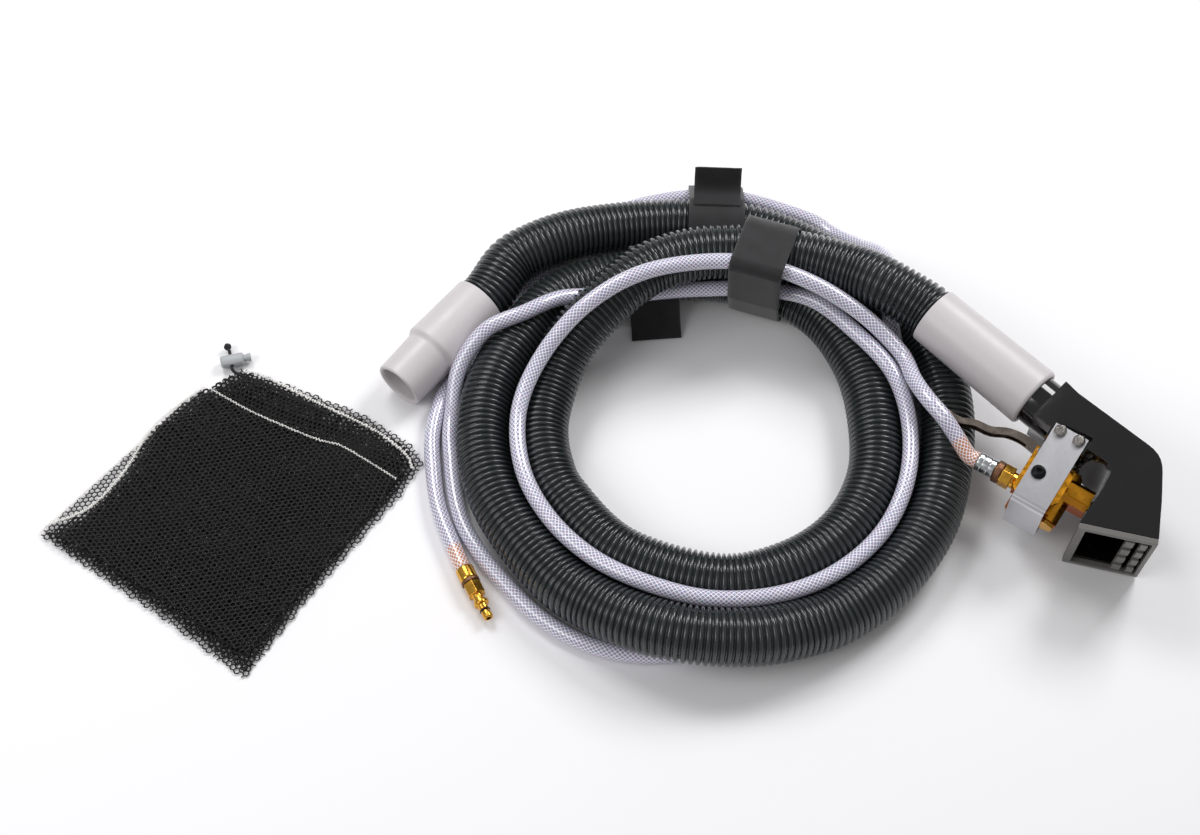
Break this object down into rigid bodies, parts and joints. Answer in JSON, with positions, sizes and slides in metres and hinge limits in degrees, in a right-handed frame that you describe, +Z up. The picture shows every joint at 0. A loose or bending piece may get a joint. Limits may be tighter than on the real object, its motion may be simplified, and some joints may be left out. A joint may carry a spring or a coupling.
{
  "type": "spot extractor hose and hand tool",
  "caption": "Hand-held upholstery spray and suction tool on a coiled vacuum hose with a braided solution hose, holding straps and a folded mesh bag.",
  "frame": {"origin": "on the floor, under the middle of the box round the tool, coil straps and bag, hoses left out", "axes": "+X from the bag across the coil to the hand tool, +Y away from the front of the layout, +Z up from the floor"},
  "size_m": [0.9133, 0.5012, 0.1039],
  "materials": {
    "gloss_black_plastic": "moulded, high gloss",
    "mouth_grey": "satin grey",
    "cuff_grey": "soft moulded, satin",
    "hose_black": "corrugated, semi-gloss",
    "clear_braided": "clear with a woven braid inside",
    "bracket_aluminium": "brushed, satin",
    "cast_brass": "as cast, lightly polished",
    "turned_brass": "turned, bright",
    "bright_steel": "bright stainless",
    "black_steel": "black oxide",
    "knurled_bronze": "knurled, brown",
    "zinc_plate": "zinc plated, bright",
    "seal_rubber": "matt black",
    "strap_webbing": "hook and loop webbing",
    "net_black": "knitted hexagonal net",
    "clip_grey": "satin grey"
  },
  "bodies": {
    "extractor": {"tool_body": "gloss_black_plastic", "mouth_insert": "mouth_grey", "spray_jet": "turned_brass", "jet_seal": "seal_rubber", "valve_bracket": "bracket_aluminium", "valve_body": "cast_brass", "valve_bonnet": "turned_brass", "stem_seal": "seal_rubber", "valve_cap": "turned_brass", "lever_pin": "bright_steel", "inlet_fitting": "turned_brass", "inlet_collar": "knurled_bronze", "inlet_ferrule": "zinc_plate", "plug_ferrule": "turned_brass", "plug_collar": "knurled_bronze", "plug_barb": "turned_brass", "plug_body": "turned_brass", "plug_seal": "seal_rubber", "vacuum_hose": "hose_black", "solution_hose": "clear_braided", "machine_cuff": "cuff_grey", "tool_cuff": "cuff_grey", "strap_1": "strap_webbing", "strap_2": "strap_webbing", "strap_3": "strap_webbing", "accessory_bag": "net_black", "bag_drawcord": "net_black", "cord_lock_body": "clip_grey", "cord_lock_spring": "bright_steel", "valve_screw_1": "black_steel", "valve_screw_2": "black_steel", "bracket_washer_1": "bright_steel", "bracket_screw_1": "bright_steel", "bracket_washer_2": "bright_steel", "bracket_screw_2": "bright_steel", "bracket_washer_3": "bright_steel", "bracket_screw_3": "bright_steel", "bracket_washer_4": "bright_steel", "bracket_screw_4": "bright_steel"},
    "lever": {"trigger_lever": "bright_steel"},
    "stem": {"valve_stem": "bright_steel", "poppet_seal": "seal_rubber", "return_spring": "bright_steel"},
    "clip_button": {"cord_lock_button": "clip_grey"}
  },
  "joints": [
    {"name": "trigger_squeeze", "type": "hinge", "parent": "extractor", "child": "lever", "pos_m": [0.36626, -0.07622, 0.05803], "axis": [0.0834, 0.2036, -0.9755], "range_deg": [0, 7], "stiffness_Nm_per_rad": 1},
    {"name": "valve_stem_push", "type": "slide", "parent": "extractor", "child": "stem", "axis": [-0.5517, -0.8057, -0.2153], "range_m": [0, 0.0038]},
    {"name": "cord_lock_press", "type": "slide", "parent": "extractor", "child": "clip_button", "axis": [-0.9703, -0.2419, 0], "range_m": [0, 0.0035], "stiffness_N_per_m": 400}
  ],
  "couplings": [
    {"joint": "valve_stem_push", "follows": "trigger_squeeze", "m_per_rad": 0.031}
  ]
}
